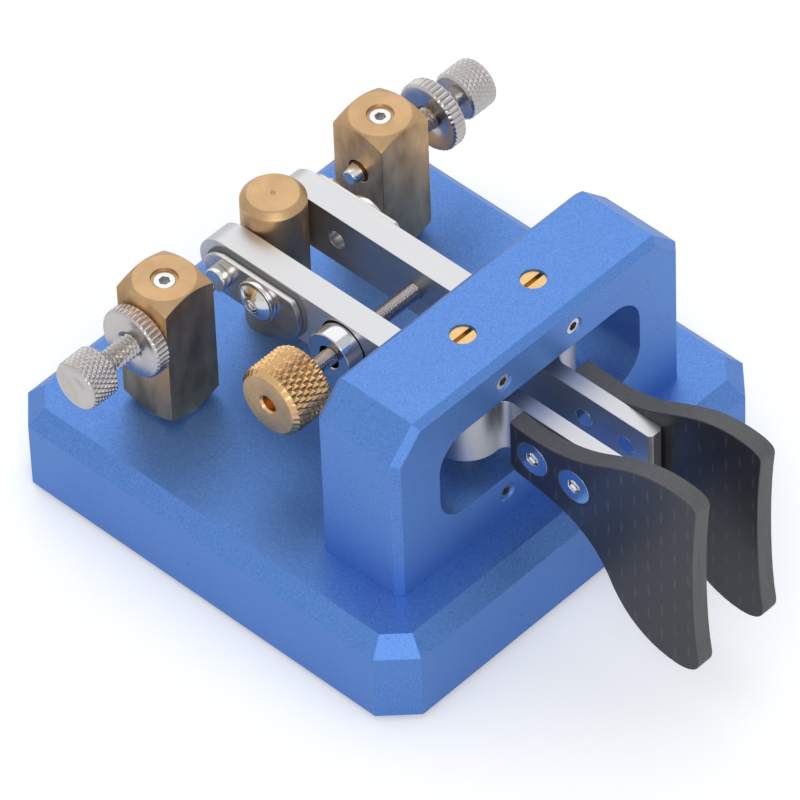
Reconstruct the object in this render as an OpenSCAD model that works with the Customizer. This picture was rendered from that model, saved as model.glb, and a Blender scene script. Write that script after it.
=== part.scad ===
// Dual paddle keyer: two sprung levers on ball bearings, each closing its own contact.
// Millimetres, +Z up. The fingers work from the -Y side, and -X is the left-hand paddle.
// The origin is the centre of the base plate, at the level that the rubber feet stand on.

/* [Base plate] */
// Width of the base plate, left to right
base_w = 75; // [72:0.5:90]
// Depth of the base plate, front to back
base_d = 75; // [74:0.5:90]
// Thickness of the base plate
base_h = 13.7; // [13:0.1:18]
// Leg of the chamfer round the top edge
base_top_chamfer = 2.5; // [1:0.1:3]
// Leg of the chamfer on the upright corners
base_corner = 4.65; // [2:0.1:6]
// Depth of the wiring channels in the underside
channel_depth = 6; // [5.5:0.1:6.5]
// Width of the wiring channel that crosses the underside
channel_w = 6; // [4:0.5:8]

/* [Feet] */
// Diameter of a rubber foot
foot_d = 8; // [6:0.5:8]
// How far a foot stands out of the base plate
foot_proud = 1; // [0.5:0.1:2]
// Depth of the recess that a foot is glued into
foot_recess = 1; // [0.5:0.1:2]
// Distance of a foot's centre from the edges of the base plate
foot_inset = 7.5; // [7:0.1:8]

/* [Bridge] */
// Width of the bridge block
bridge_w = 57; // [52:0.5:62]
// Depth of the bridge block
bridge_d = 15; // [13:0.5:18]
// Height of the bridge block above the base plate
bridge_h = 30; // [28:0.5:34]
// Distance of the bridge centre, and the lever pivots, in front of the base centre
pivot_back = 22.1; // [21:0.1:24]
// Leg of the chamfers at the two upper ends of the bridge
bridge_end_chamfer = 4.65; // [2:0.05:6]
// Leg of the fine chamfer round the front and rear outlines of the bridge
bridge_edge_chamfer = 1.05; // [0.5:0.05:1.5]
// Width of the window that the levers pass through
window_w = 40; // [38:0.5:44]
// Height of the window
window_h = 15; // [14:0.5:16]
// Corner radius of the window
window_r = 5; // [3:0.5:6]
// Thread diameter of the screws that hold the bridge down
bridge_screw_d = 5; // [4:0.5:5]
// Length of thread that a bridge screw has in the bridge
bridge_screw_bite = 10; // [6:0.5:14]

/* [Pivots] */
// Distance of a lever pivot from the centre line
pivot_x = 7; // [6.8:0.1:8]
// Thread diameter of a pivot screw
pivot_screw_d = 3.7; // [3.5:0.1:4.5]
// Diameter of the journal that turns in the bearing
journal_d = 2; // [1.6:0.1:2.2]
// Outer diameter of a lever bearing
bearing_d = 5; // [4.8:0.1:5.4]
// Width of a lever bearing
bearing_w = 2.5; // [2:0.1:3]
// Number of balls in a bearing
ball_count = 7; // [5:1:8]
// Thread diameter of the screws that lock the pivot screws
lock_screw_d = 2.4; // [2.2:0.1:3]
// Height of the lock screws above and below the window centre
lock_screw_rise = 10.7; // [10.2:0.1:11]

/* [Levers] */
// Height of the lever stock
lever_h = 9; // [8.8:0.1:9.6]
// Height of the lever centre line above the window centre
lever_lift = 0.4; // [0:0.1:0.8]
// Distance of a rear arm's inner face from the centre line
rear_inner = 4.9; // [4.9:0.1:5.4]
// Thickness of a rear arm
rear_t = 4.4; // [4.2:0.1:5]
// Distance of a front arm's inner face from the centre line
front_inner = 2.46; // [2:0.02:3]
// Thickness of a front arm
front_t = 2.6; // [2.2:0.1:3]
// Length of a front arm ahead of the pivot
front_len = 25.4; // [24.5:0.1:28]
// Radius of the boss round the pivot
boss_r = 5.55; // [5:0.05:6]
// Radius of the fillet that runs from the boss into the front arm
boss_fillet = 1.6; // [1:0.1:2.5]
// How far the full-round rear end is centred behind the contact line
arm_tail = 1; // [0:0.1:2]

/* [Paddles] */
// Thickness of the carbon fibre plate
paddle_t = 2.9; // [2:0.1:3.5]
// Length of a paddle
paddle_len = 34.2; // [31:0.1:40]
// Distance of a paddle's rear edge ahead of the pivot
paddle_start = 9.1; // [8.6:0.1:10]
// Height of the blade above the lever centre line
blade_rise = 11.7; // [9:0.1:15]
// Depth of the blade below the lever centre line
blade_drop = 21.8; // [16:0.1:25]
// Distance of the first paddle screw behind which the tongue ends
paddle_screw_inset = 4.1; // [3.5:0.1:5]
// Distance between the two paddle screws
paddle_screw_pitch = 7.6; // [6.5:0.1:8.5]
// Thread diameter of the paddle screws and plate screws
small_screw_d = 3; // [2.5:0.1:3]
// Head diameter of a countersunk paddle screw
paddle_screw_head = 5.6; // [5:0.1:6]

/* [Contacts] */
// Distance of the contact line behind the base centre
contact_y = 20.4; // [19:0.1:22]
// Thickness of a contact plate
plate_t = 1; // [0.8:0.1:1.4]
// Thickness of the backing under a contact plate
backing_t = 0.3; // [0.3:0.1:0.8]
// Half height of the narrow rear end of a contact plate
plate_r = 3.5; // [3:0.1:4.2]
// Radius of the round front end of a contact plate
plate_disc_r = 5.5; // [5:0.1:7]
// Distance of the round end's centre ahead of the contact line
plate_disc_back = 9.1; // [8:0.1:10]
// Distance of the plate screw ahead of the contact line
plate_screw_back = 7.1; // [6.8:0.1:8]
// Flange diameter of the plate screw
plate_screw_flange = 6.6; // [6:0.1:7.2]
// Diameter of the silver rivet on a contact plate
rivet_d = 3.6; // [3:0.1:4]
// Height of the silver rivet on a contact plate
rivet_h = 1.5; // [1:0.1:2]
// Gap between a contact point and its rivet at rest
contact_gap = 0.9; // [0.2:0.05:1]
// Large diameter of a tapered contact point
point_d = 2.8; // [2.4:0.1:3]
// Length of a tapered contact point
point_len = 1.8; // [1.2:0.1:2.4]
// Thread diameter of a contact screw
contact_screw_d = 3.5; // [3:0.1:3.5]
// Distance of a contact screw's outer end from the centre line
contact_screw_end = 39.5; // [38:0.1:42]
// Diameter of a contact screw's knurled head
contact_head_d = 7.8; // [6:0.1:9]
// Length of a contact screw's knurled head
contact_head_len = 5; // [3:0.1:6]
// Diameter of a lock nut
nut_d = 11; // [8:0.1:12]
// Thickness of a lock nut
nut_t = 2.5; // [1.5:0.1:3]
// How far the right contact screw is backed out, as in the photo
right_screw_out = 1.8; // [0:0.1:2.2]
// How far the right lock nut is backed off its post, as in the photo
right_nut_out = 4.5; // [0:0.1:4.8]

/* [Posts] */
// Side of a square contact post
post_w = 9.4; // [8.6:0.1:10]
// Distance of a contact post from the centre line
post_x = 21.5; // [20:0.1:22]
// Height of a post above the base plate
post_h = 23.1; // [21:0.1:26]
// Diameter of the turned flat on the ends of a contact post
post_turned_d = 8.9; // [8.5:0.1:9.5]
// Depth of the turned cone on the ends of a contact post
post_cone_h = 1.3; // [0.8:0.1:1.8]
// Diameter of the round stop post
stop_d = 9.5; // [8.5:0.1:9.7]
// Leg of the chamfer on top of the stop post
stop_chamfer = 1; // [0.5:0.1:1.5]
// Thread diameter of the screws under the posts
post_screw_d = 4; // [3.5:0.1:4]
// Length of thread that a post screw has in its post
post_screw_bite = 7; // [5:0.5:7.5]
// Thread diameter of the set screw in the top of a contact post
set_screw_d = 3; // [3:0.1:4]
// Length of the set screw in the top of a contact post
set_screw_len = 4.6; // [4:0.1:5]
// Thickness of the bush flange that insulates a contact post
bush_flange = 0.4; // [0.3:0.1:0.8]

/* [Tension] */
// Distance of the tension rod ahead of the base centre
rod_back = 1.5; // [1:0.1:2.5]
// Thread diameter of the tension rod
rod_d = 2.5; // [2:0.1:2.6]
// Diameter of the ring magnets
magnet_d = 7.8; // [7:0.1:8]
// Hole diameter of the ring magnets
magnet_hole_d = 3.6; // [3.6:0.1:4]
// Thickness of the ring magnets
magnet_t = 5; // [3:0.1:5.2]
// Depth of the pocket that holds the lever magnet
magnet_pocket = 2; // [1.5:0.1:2.5]
// Distance of the knob's outer face from the centre line
knob_end = 24.3; // [24:0.1:28]
// Diameter of the knob
knob_d = 11; // [9.8:0.1:12]
// Length of the knob
knob_len = 7.2; // [6.5:0.1:8]
// Leg of the chamfers on the knob
knob_chamfer = 0.8; // [0.4:0.1:1]

/* [Jack] */
// Bore of the jack socket
jack_bore_d = 3.6; // [3.5:0.05:3.7]
// Thread diameter of the jack barrel
jack_barrel_d = 6; // [5.5:0.1:6.5]
// Length of the threaded jack barrel
jack_barrel_len = 5; // [4.5:0.1:6]
// Width and height of the jack body
jack_body_w = 8; // [7.5:0.1:8.5]
// Length of the jack body
jack_body_len = 9.5; // [9:0.1:10]
// Thickness of the base wall that carries the jack
jack_wall = 2.8; // [2:0.1:3]
// Diameter of the jack nut
jack_nut_d = 8; // [7.5:0.1:9]
// Thickness of the jack nut
jack_nut_t = 1.6; // [1:0.1:2]

/* [Hidden] */
$fn = 96;
// Radial clearance of a thread or seat between pieces that don't move
seat_gap = 0.02;
// Radial clearance of pieces that turn or slide in each other
run_gap = 0.05;
// How far a cut runs past the face that it opens
overrun = 1;
// Reach of the large cutting blocks, larger than any piece
reach = base_w + base_d;

base_z = foot_proud;
base_top = base_z + base_h;
channel_roof = base_z + channel_depth;
window_z = base_top + bridge_h / 2;
lever_z = window_z + lever_lift;
lever_low = lever_z - lever_h / 2;
lever_high = lever_z + lever_h / 2;
bridge_top = base_top + bridge_h;

front_outer = front_inner + front_t;
rear_outer = rear_inner + rear_t;
backing_outer = rear_outer + backing_t;
plate_outer = backing_outer + plate_t;
paddle_outer = front_outer + paddle_t;
paddle_y = -pivot_back - paddle_start;
paddle_screw_y = paddle_y - paddle_screw_inset;
plate_screw_y = contact_y - plate_screw_back;
plate_disc_y = contact_y - plate_disc_back;

// Bearing rings, balls and the shoulder that carries the inner ring
ball_d = 0.8;
ring_wall = (bearing_d - journal_d) / 2;
ball_pitch_r = journal_d / 2 + ring_wall / 2;
ring_gap = 0.6;
groove_d = ball_d + 2 * seat_gap;
journal_len = 2.2;
journal_shoulder_d = 2.8;
journal_shoulder_h = 0.6;
lever_bore_d = 3.6;
pivot_screw_sunk = 0.3;
pivot_slot_w = 0.7;
pivot_slot_depth = 1;
lock_screw_len = 4.2;
lock_screw_sunk = 0.3;
lock_hex = 1.3;
lock_hex_depth = 1.6;

// Ends of the front arms and details of the screws that hold the paddles
arm_end_chamfer = 0.5;
// Depth that the fillet cutter bites into the faces that it runs out on
cutter_bite = 0.02;
tongue_chamfer = 1;
countersink_h = (paddle_screw_head - small_screw_d) / 2;
hex_small = 2;
hex_small_depth = 1;
plate_screw_flange_t = 0.8;
plate_screw_dome_d = 5.6;
plate_screw_head_h = 1.9;
plate_screw_short = 1.5;
backing_step = 0.35;

// Contact points, screws and their seats
point_tip_d = 2.1;
point_stem_d = 1.6;
point_stem_len = 2.4;
screw_nose_len = 0.7;
rivet_outer = plate_outer + rivet_h;
point_x = rivet_outer + contact_gap;
screw_tip_x = point_x + point_len;
nut_x = post_x + post_w / 2 + run_gap;
head_chamfer = 0.3;
nut_chamfer = 0.3;
set_screw_sunk = 0.5;
set_bore_rim = 0.45;
post_cone_share = 2;
set_hex = 1.5;
set_hex_depth = 2;
stop_centre_d = 0.8;
stop_centre_depth = 0.3;

// Fixings in the underside
post_bush_d = 7;
post_bush_flange_d = 8.6;
post_washer_d = 9;
post_washer_t = 0.8;
lug_seat = channel_roof - post_washer_t;
lug_d = 7;
lug_t = 0.4;
lug_tab_w = 2.4;
lug_tab_len = 2.2;
pan_head_d = 7;
pan_head_h = 2;
post_recess_d = 10;
bridge_head_d = 8.5;
bridge_head_h = 5;
bridge_head_room_d = 9;
bridge_head_sunk = 0.8;
bridge_hex = 4;
bridge_hex_depth = 2.5;
bridge_screw_x = (bridge_w + window_w) / 4;

// Tension rod, magnets and knob
magnet_side_room = 0.24;
magnet_pocket_d = magnet_d + 2 * magnet_side_room;
rod_inset = 3;
knob_face_x = -knob_end + knob_len;
knob_pocket = magnet_t;

// Jack pocket, jack pieces and wires
jack_side_room = 1;
jack_pocket_w = jack_body_w + 2 * jack_side_room;
jack_sunk = 0.6;
jack_z = base_z + jack_sunk + jack_body_w / 2;
jack_face_y = base_d / 2;
jack_body_y = jack_face_y - jack_wall;
jack_room = 0.8;
jack_pocket_h = jack_sunk + jack_body_w + jack_room;
jack_end_y = jack_body_y - jack_body_len;
terminal_w = 1.4;
terminal_t = 0.4;
terminal_len = 1.6;
terminal_side = 3.2;
jack_bore_end = 2;
wire_d = 1;
wire_room = 0.25;
wire_bend_r = 2;
wire_x = (pan_head_d + wire_d) / 2 + wire_room;
wire_z = lug_seat - lug_t - wire_d / 2;

// A piece and its mirror image on the other side of the centre line
module both_sides() {
  children();
  mirror([1, 0, 0]) children();
}

// A cylinder along X from one place to another
module bar_x(d, from, to) {
  translate([from, 0, 0]) rotate([0, 90, 0]) cylinder(d = d, h = to - from);
}

// A cone or cylinder along X with a diameter at each end
module taper_x(d1, d2, from, to) {
  translate([from, 0, 0]) rotate([0, 90, 0]) cylinder(d1 = d1, d2 = d2, h = to - from);
}

// A cylinder along X with both rims chamfered
module chamfered_bar_x(d, from, to, leg) {
  taper_x(d - 2 * leg, d, from, from + leg);
  bar_x(d, from + leg, to - leg);
  taper_x(d, d - 2 * leg, to - leg, to);
}

// A hexagonal recess along X, measured across its flats
module hex_x(across, from, to) {
  translate([from, 0, 0]) rotate([0, 90, 0]) cylinder(d = across / cos(30), h = to - from, $fn = 6);
}

// A vertical hexagonal recess, measured across its flats
module hex_z(across, from, to) {
  translate([0, 0, from]) cylinder(d = across / cos(30), h = to - from, $fn = 6);
}

// A vertical cylinder from one height to another
module bar_z(d, from, to) {
  translate([0, 0, from]) cylinder(d = d, h = to - from);
}

// A round tube with a through bore
module tube_z(outer, inner, from, to) {
  difference() {
    bar_z(outer, from, to);
    bar_z(inner, from - overrun, to + overrun);
  }
}

// A long bar along Y whose flat top, at the given height, has both its edges chamfered
module capped_bar(half, top, leg) {
  outline = [[-half, -reach], [half, -reach], [half, top - leg], [half - leg, top], [leg - half, top], [-half, top - leg]];
  rotate([90, 0, 0]) linear_extrude(2 * reach, center = true) polygon(outline);
}

// Plate with chamfered upright corners and one chamfer that runs all the way round its top edge
module base_blank() {
  diagonal = ((base_w + base_d) / 2 - base_corner) / sqrt(2);
  intersection() {
    translate([-base_w / 2, -base_d / 2, 0]) cube([base_w, base_d, base_h]);
    capped_bar(base_w / 2, base_h, base_top_chamfer);
    rotate([0, 0, 90]) capped_bar(base_d / 2, base_h, base_top_chamfer);
    rotate([0, 0, 45]) capped_bar(diagonal, base_h, base_top_chamfer);
    rotate([0, 0, -45]) capped_bar(diagonal, base_h, base_top_chamfer);
  }
}

module foot_places() {
  for (x = [-1, 1]) {
    for (y = [-1, 1]) {
      translate([x * (base_w / 2 - foot_inset), y * (base_d / 2 - foot_inset), 0]) children();
    }
  }
  children();
}

// Channel across the underside, from one contact post to the other, and round rooms for the screw heads
module wiring_channel() {
  low = base_z - overrun;
  both_sides() translate([post_x, contact_y, 0]) bar_z(post_recess_d, low, channel_roof);
  translate([0, contact_y, 0]) bar_z(post_recess_d, low, lug_seat);
  translate([-post_x, contact_y - channel_w / 2, low]) cube([2 * post_x, channel_w, lug_seat - low]);
  pocket_d = jack_body_y - contact_y;
  translate([-jack_pocket_w / 2, contact_y, low]) cube([jack_pocket_w, pocket_d, jack_pocket_h + overrun]);
}

module base_plate() {
  color("royalblue") difference() {
    translate([0, 0, base_z]) base_blank();
    wiring_channel();
    foot_places() bar_z(foot_d + 2 * seat_gap, 0, base_z + foot_recess);
    both_sides() translate([post_x, contact_y, 0]) bar_z(post_bush_d + 2 * seat_gap, base_z, base_top + overrun);
    translate([0, contact_y, 0]) bar_z(post_screw_d + 2 * run_gap, base_z, base_top + overrun);
    both_sides() translate([bridge_screw_x, -pivot_back, 0]) bridge_screw_hole();
    translate([0, jack_face_y + overrun, jack_z]) rotate([90, 0, 0])
      cylinder(d = jack_barrel_d + 2 * seat_gap, h = jack_wall + 2 * overrun);
  }
}

module bridge_screw_hole() {
  bar_z(bridge_head_room_d, base_z - overrun, base_z + bridge_head_sunk + bridge_head_h);
  bar_z(bridge_screw_d + 2 * run_gap, base_z, base_top + overrun);
}

module rubber_feet() {
  color("black") foot_places() bar_z(foot_d, 0, base_z + foot_recess);
}

// Solid block with chamfered ends, and a fine chamfer round its front and rear outlines
module bridge_blank() {
  end_face = (bridge_w / 2 + bridge_h - bridge_end_chamfer) / sqrt(2);
  half = bridge_d / 2;
  intersection() {
    translate([-bridge_w / 2, -half, 0]) cube([bridge_w, bridge_d, bridge_h]);
    bridge_cap(0, bridge_h);
    bridge_cap(45, end_face);
    bridge_cap(-45, end_face);
    bridge_cap(90, bridge_w / 2);
    bridge_cap(-90, bridge_w / 2);
  }
}

module bridge_cap(angle, top) {
  rotate([0, angle, 0]) rotate([0, 0, 90]) capped_bar(bridge_d / 2, top, bridge_edge_chamfer);
}

// Round-cornered window, as long as the block is deep and open at both ends
module window_space() {
  depth = bridge_d + 2 * overrun;
  flat_w = window_w - 2 * window_r;
  flat_h = window_h - 2 * window_r;
  translate([-window_w / 2, -depth / 2, -flat_h / 2]) cube([window_w, depth, flat_h]);
  translate([-flat_w / 2, -depth / 2, -window_h / 2]) cube([flat_w, depth, window_h]);
  for (x = [-1, 1]) {
    for (z = [-1, 1]) {
      translate([x * flat_w / 2, depth / 2, z * flat_h / 2]) rotate([90, 0, 0]) cylinder(r = window_r, h = depth);
    }
  }
}

module bridge_block() {
  color("royalblue") difference() {
    translate([0, -pivot_back, base_top]) bridge_blank();
    translate([0, -pivot_back, window_z]) window_space();
    both_sides() translate([pivot_x, -pivot_back, 0])
      bar_z(pivot_screw_d + 2 * seat_gap, base_top - overrun, bridge_top + overrun);
    lock_screw_places() lock_hole();
    both_sides() translate([bridge_screw_x, -pivot_back, 0])
      bar_z(bridge_screw_d + 2 * seat_gap, base_top - overrun, base_top + bridge_screw_bite + overrun);
  }
}

// Tapped hole from the front face to the pivot screw, with a small countersink at its mouth
module lock_hole() {
  mouth_leg = lock_screw_sunk;
  rotate([-90, 0, 0]) cylinder(d = lock_screw_d + 2 * seat_gap, h = bridge_d / 2);
  rotate([-90, 0, 0]) cylinder(d1 = lock_screw_d + 2 * mouth_leg, d2 = lock_screw_d, h = mouth_leg);
}

module lock_screw_places() {
  for (x = [-1, 1]) {
    for (z = [-1, 1]) {
      translate([x * pivot_x, -pivot_back - bridge_d / 2, window_z + z * lock_screw_rise]) children();
    }
  }
}

module bridge_screws() {
  seat = base_z + bridge_head_sunk + bridge_head_h;
  color("silver") both_sides() translate([bridge_screw_x, -pivot_back, 0]) difference() {
    union() {
      bar_z(bridge_head_d, base_z + bridge_head_sunk, seat);
      bar_z(bridge_screw_d, seat, base_top + bridge_screw_bite);
    }
    hex_z(bridge_hex, base_z, base_z + bridge_head_sunk + bridge_hex_depth);
  }
}

// Centre of the fillet between the boss and the front arm's outer face
blend_centre = [
  front_outer + boss_fillet,
  -pivot_back - sqrt(pow(boss_r + boss_fillet, 2) - pow(front_outer + boss_fillet - pivot_x, 2))
];

// Plan of the right-hand lever: front arm, boss with its fillet, rear arm
module lever_plan() {
  front_end = -pivot_back - front_len;
  cut = arm_end_chamfer;
  rear_len = pivot_back + contact_y + arm_tail + lever_h / 2;
  inside_x = front_outer - front_t / 2;
  difference() {
    union() {
      polygon([[front_inner, -pivot_back], [front_inner, front_end + cut], [front_inner + cut, front_end],
        [front_outer - cut, front_end], [front_outer, front_end + cut], [front_outer, -pivot_back]]);
      translate([rear_inner, -pivot_back]) square([rear_t, rear_len]);
      intersection() {
        translate([pivot_x, -pivot_back]) circle(r = boss_r);
        translate([front_inner, -reach]) square([reach, 2 * reach]);
      }
      polygon([[inside_x, -pivot_back], [inside_x, blend_centre[1]], blend_centre, [pivot_x, -pivot_back]]);
    }
    translate(blend_centre) circle(r = boss_fillet + cutter_bite);
  }
}

// Side view of a lever, with its full-round rear end just behind the contact line
module lever_side() {
  front_end = -pivot_back - front_len;
  tail_y = contact_y + arm_tail;
  translate([0, tail_y, lever_z]) rotate([0, 90, 0]) cylinder(d = lever_h, h = reach);
  translate([0, front_end, lever_low]) cube([reach, tail_y - front_end, lever_h]);
}

module lever() {
  difference() {
    intersection() {
      translate([0, 0, lever_low]) linear_extrude(lever_h) lever_plan();
      lever_side();
    }
    translate([pivot_x, -pivot_back, 0]) {
      bar_z(lever_bore_d, lever_low - overrun, lever_high + overrun);
      bar_z(bearing_d + 2 * seat_gap, lever_high - bearing_w, lever_high + overrun);
      bar_z(bearing_d + 2 * seat_gap, lever_low - overrun, lever_low + bearing_w);
    }
    paddle_screw_places() bar_x(small_screw_d + 2 * seat_gap, 0, reach);
    translate([0, plate_screw_y, lever_z]) bar_x(small_screw_d + 2 * seat_gap, 0, reach);
  }
}

module right_lever() {
  color("gainsboro") difference() {
    lever();
    translate([0, -rod_back, lever_z]) bar_x(rod_d + 2 * seat_gap, 0, reach);
  }
}

// The left lever clears the tension rod and holds one ring magnet in its outer face
module left_lever() {
  color("gainsboro") difference() {
    mirror([1, 0, 0]) lever();
    translate([0, -rod_back, lever_z]) bar_x(magnet_hole_d, -reach, 0);
    translate([0, -rod_back, lever_z]) bar_x(magnet_pocket_d, -reach, magnet_pocket - rear_outer);
  }
}

module paddle_screw_places() {
  for (i = [0, 1]) {
    translate([0, paddle_screw_y - i * paddle_screw_pitch, lever_z]) children();
  }
}

// Points of a cubic curve, without its first point
function curve(p, steps = 9) = [
  for (i = [1:steps]) let(t = i / steps, s = 1 - t)
    s * s * s * p[0] + 3 * s * s * t * p[1] + 3 * s * t * t * p[2] + t * t * t * p[3]
];

// Curves of the paddle's outline. A point's first value is its share of the paddle's length.
// Its second is the share of the way from the tongue's edge to the blade's, above or below.
top_dip_shares = [[0, 0], [0.13, -0.1], [0.27, -0.06], [0.41, 0.24]];
top_rise_shares = [[0.41, 0.24], [0.55, 0.56], [0.68, 1], [0.85, 1]];
top_corner_shares = [[0.85, 1], [0.95, 1], [0.995, 0.92], [0.99, 0.72]];
low_corner_shares = [[1, 0.81], [1.005, 0.93], [0.955, 1], [0.88, 1]];
low_sweep_shares = [[0.88, 1], [0.74, 1], [0.62, 0.86], [0.545, 0.6]];
low_neck_shares = [[0.545, 0.6], [0.46, 0.26], [0.37, 0.06], [0.03, 0.005]];
front_hollow_shares = [0.962, 0.966];
front_hollow_bend_shares = [0.35, 0.3];

function above(shares) = [
  for (p = shares) [paddle_y - p[0] * paddle_len, lever_h / 2 + p[1] * (blade_rise - lever_h / 2)]
];
function below(shares) = [
  for (p = shares) [paddle_y - p[0] * paddle_len, -lever_h / 2 - p[1] * (blade_drop - lever_h / 2)]
];

// Side outline of a paddle, from the rear top corner round the blade to the rear lower corner
function paddle_outline() = let(
  top_end = above(top_corner_shares)[3],
  low_start = below(low_corner_shares)[0],
  bend_top = [paddle_y - front_hollow_shares[0] * paddle_len, top_end[1] - front_hollow_bend_shares[0] * blade_drop],
  bend_low = [paddle_y - front_hollow_shares[1] * paddle_len, low_start[1] + front_hollow_bend_shares[1] * blade_drop]
) concat(
  above([[0, 0]]),
  curve(above(top_dip_shares)),
  curve(above(top_rise_shares)),
  curve(above(top_corner_shares)),
  curve([top_end, bend_top, bend_low, low_start]),
  curve(below(low_corner_shares)),
  curve(below(low_sweep_shares)),
  curve(below(low_neck_shares)),
  [[paddle_y, tongue_chamfer - lever_h / 2]]
);

// A side outline, given as distances along Y and Z, made into a plate that lies across X
module plate_x(from, to) {
  translate([from, 0, lever_z]) rotate([90, 0, 90]) linear_extrude(to - from) children();
}

module paddle() {
  difference() {
    plate_x(front_outer, paddle_outer) polygon(paddle_outline());
    paddle_screw_places() {
      bar_x(small_screw_d + 2 * run_gap, 0, reach);
      taper_x(small_screw_d, paddle_screw_head, paddle_outer - countersink_h, paddle_outer);
    }
  }
}

module right_paddle() {
  color("#26282c") paddle();
}

module left_paddle() {
  color("#26282c") mirror([1, 0, 0]) paddle();
}

module paddle_screws() {
  lid = paddle_outer - run_gap;
  neck = paddle_outer - countersink_h + seat_gap;
  paddle_screw_places() difference() {
    union() {
      bar_x(small_screw_d, front_inner, neck);
      taper_x(small_screw_d, paddle_screw_head - 2 * run_gap - 2 * seat_gap, neck, lid);
    }
    hex_x(hex_small, lid - hex_small_depth, lid + overrun);
  }
}

module right_paddle_screws() {
  color("silver") paddle_screws();
}

module left_paddle_screws() {
  color("silver") mirror([1, 0, 0]) paddle_screws();
}

// Outline of a contact plate: a narrow round rear end, and a larger disc cut off level with its top
module contact_outline(grow) {
  half = plate_r + grow;
  translate([contact_y, 0]) circle(r = half);
  translate([plate_disc_y, -half]) square([contact_y - plate_disc_y, 2 * half]);
  intersection() {
    translate([plate_disc_y, 0]) circle(r = plate_disc_r + grow);
    translate([-reach, half - reach]) square([2 * reach, reach]);
  }
}

module plate_on_lever(from, to, grow) {
  difference() {
    plate_x(from, to) contact_outline(grow);
    translate([0, plate_screw_y, lever_z]) bar_x(small_screw_d + 2 * run_gap, 0, reach);
  }
}

module right_contact_plate() {
  color("silver") plate_on_lever(backing_outer, plate_outer, 0);
}

module left_contact_plate() {
  color("silver") mirror([1, 0, 0]) plate_on_lever(backing_outer, plate_outer, 0);
}

module contact_rivet() {
  translate([0, contact_y, lever_z]) bar_x(rivet_d, plate_outer, rivet_outer);
}

module right_contact_rivet() {
  color("whitesmoke") contact_rivet();
}

module left_contact_rivet() {
  color("whitesmoke") mirror([1, 0, 0]) contact_rivet();
}

module right_plate_backing() {
  color("dimgray") plate_on_lever(rear_outer, backing_outer, backing_step);
}

module left_plate_backing() {
  color("dimgray") mirror([1, 0, 0]) plate_on_lever(rear_outer, backing_outer, backing_step);
}

// Flanged button-head screw: the dome is a slice of a sphere
module plate_screw() {
  dome_h = plate_screw_head_h - plate_screw_flange_t;
  dome_r = (pow(plate_screw_dome_d / 2, 2) + pow(dome_h, 2)) / (2 * dome_h);
  flange_x = plate_outer + plate_screw_flange_t;
  translate([0, plate_screw_y, lever_z]) difference() {
    union() {
      bar_x(small_screw_d, rear_inner + plate_screw_short, plate_outer);
      bar_x(plate_screw_flange, plate_outer, flange_x);
      translate([flange_x, 0, 0]) rotate([0, 90, 0]) rotate_extrude() intersection() {
        translate([0, dome_h - dome_r]) circle(r = dome_r);
        square([plate_screw_dome_d / 2, dome_h]);
      }
    }
    hex_x(hex_small, flange_x, flange_x + dome_h + overrun);
  }
}

module right_plate_screw() {
  color("silver") plate_screw();
}

module left_plate_screw() {
  color("silver") mirror([1, 0, 0]) plate_screw();
}

// Upper pivot screw, drawn with its slotted end up and its journal in the bearing
module upper_pivot_screw() {
  slot_top = bridge_top - pivot_screw_sunk;
  shoulder = lever_high + journal_shoulder_h;
  difference() {
    union() {
      bar_z(pivot_screw_d, shoulder, slot_top);
      bar_z(journal_shoulder_d, lever_high, shoulder);
      bar_z(journal_d - 2 * seat_gap, lever_high - journal_len, lever_high);
    }
    translate([-pivot_screw_d, -pivot_slot_w / 2, slot_top - pivot_slot_depth])
      cube([2 * pivot_screw_d, pivot_slot_w, pivot_slot_depth + overrun]);
  }
}

module lower_pivot_screw() {
  slot_low = base_top + pivot_screw_sunk;
  shoulder = lever_low - journal_shoulder_h;
  difference() {
    union() {
      bar_z(pivot_screw_d, slot_low, shoulder);
      bar_z(journal_shoulder_d, shoulder, lever_low);
      bar_z(journal_d - 2 * seat_gap, lever_low, lever_low + journal_len);
    }
    translate([-pivot_screw_d, -pivot_slot_w / 2, slot_low - overrun])
      cube([2 * pivot_screw_d, pivot_slot_w, pivot_slot_depth + overrun]);
  }
}

module pivot_screws() {
  color("goldenrod") both_sides() translate([pivot_x, -pivot_back, 0]) {
    upper_pivot_screw();
    lower_pivot_screw();
  }
}

module pivot_lock_screws() {
  inner_end = bridge_d / 2 - pivot_screw_d / 2 - seat_gap;
  color("dimgray") lock_screw_places() rotate([-90, 0, 0]) difference() {
    bar_z(lock_screw_d, lock_screw_sunk, min(inner_end, lock_screw_sunk + lock_screw_len));
    hex_z(lock_hex, 0, lock_screw_sunk + lock_hex_depth);
  }
}

// Places of the two bearings of the right-hand lever, each with its lower face at height zero
module bearing_places() {
  translate([pivot_x, -pivot_back, lever_low]) children();
  translate([pivot_x, -pivot_back, lever_high - bearing_w]) children();
}

module ball_groove() {
  translate([0, 0, bearing_w / 2]) rotate_extrude() translate([ball_pitch_r, 0]) circle(d = groove_d);
}

module inner_ring() {
  difference() {
    tube_z(2 * ball_pitch_r - ring_gap, journal_d, 0, bearing_w);
    ball_groove();
  }
}

module outer_ring() {
  difference() {
    tube_z(bearing_d, 2 * ball_pitch_r + ring_gap, 0, bearing_w);
    ball_groove();
  }
}

module bearing_inner_rings() {
  color("silver") both_sides() bearing_places() inner_ring();
}

module bearing_balls() {
  color("silver") both_sides() bearing_places() {
    for (i = [0:ball_count - 1]) {
      rotate([0, 0, i * 360 / ball_count]) translate([ball_pitch_r, 0, bearing_w / 2]) sphere(d = ball_d, $fn = 32);
    }
  }
}

module right_bearing_outer_rings() {
  color("silver") bearing_places() outer_ring();
}

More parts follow.
